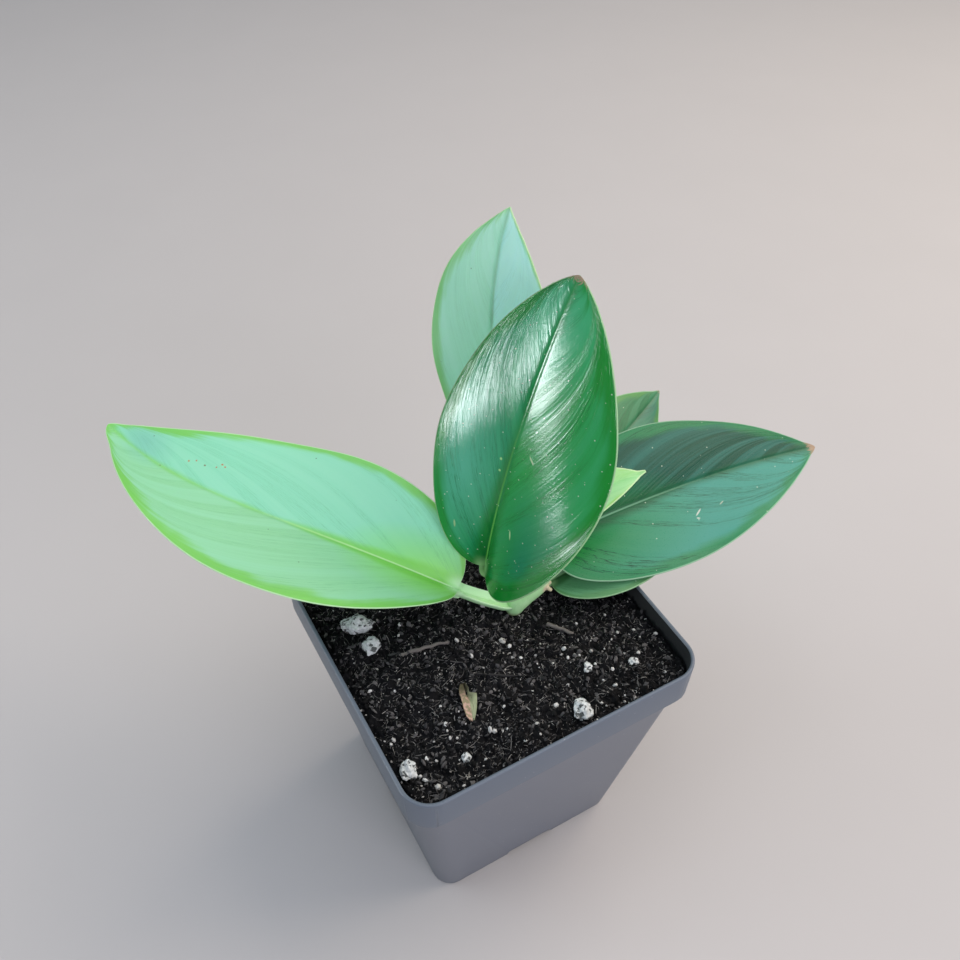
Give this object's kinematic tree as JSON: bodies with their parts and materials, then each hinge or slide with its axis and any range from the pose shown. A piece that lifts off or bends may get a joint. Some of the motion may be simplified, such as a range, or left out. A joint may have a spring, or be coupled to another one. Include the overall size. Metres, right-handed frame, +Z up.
{
  "type": "potted scindapsus",
  "caption": "Young scindapsus with pale mint and deep green leaves, rooted in dark compost in a square charcoal nursery pot.",
  "frame": {"origin": "centre of the pot's flat underside", "axes": "+Z up; X and Y along the sides of the square pot, with the picture taken from the -X -Y side and above"},
  "size_m": [0.2344, 0.1498, 0.2233],
  "materials": {
    "pot_plastic": "satin charcoal polypropylene",
    "compost": "loose moist peat fibre, wood stands in for it",
    "stem_green": "living stem, leather stands in for it",
    "leaf_mint": "waxy leaf, leather stands in for it",
    "leaf_deep_green": "waxy leaf, leather stands in for it",
    "leaf_mint_pale": "waxy leaf, leather stands in for it",
    "leaf_blue_green": "waxy leaf, leather stands in for it",
    "leaf_shaded_green": "waxy leaf, leather stands in for it",
    "leaf_dull_green": "waxy leaf, leather stands in for it",
    "leaf_new_growth": "waxy leaf, leather stands in for it",
    "perlite": "expanded perlite",
    "bark": "weathered bark",
    "twig": "dry twig"
  },
  "bodies": {
    "root": {"pot": "pot_plastic", "soil": "compost", "stem": "stem_green", "leaf_left": "leaf_mint", "leaf_front": "leaf_deep_green", "leaf_back": "leaf_mint_pale", "leaf_right": "leaf_blue_green", "leaf_rear": "leaf_shaded_green", "leaf_low": "leaf_dull_green", "leaf_new": "leaf_new_growth", "perlite_1": "perlite", "perlite_2": "perlite", "perlite_3": "perlite", "perlite_4": "perlite", "perlite_5": "perlite", "perlite_6": "perlite", "perlite_7": "perlite", "wood_chip": "bark", "twig_1": "twig", "twig_2": "twig"}
  },
  "joints": []
}
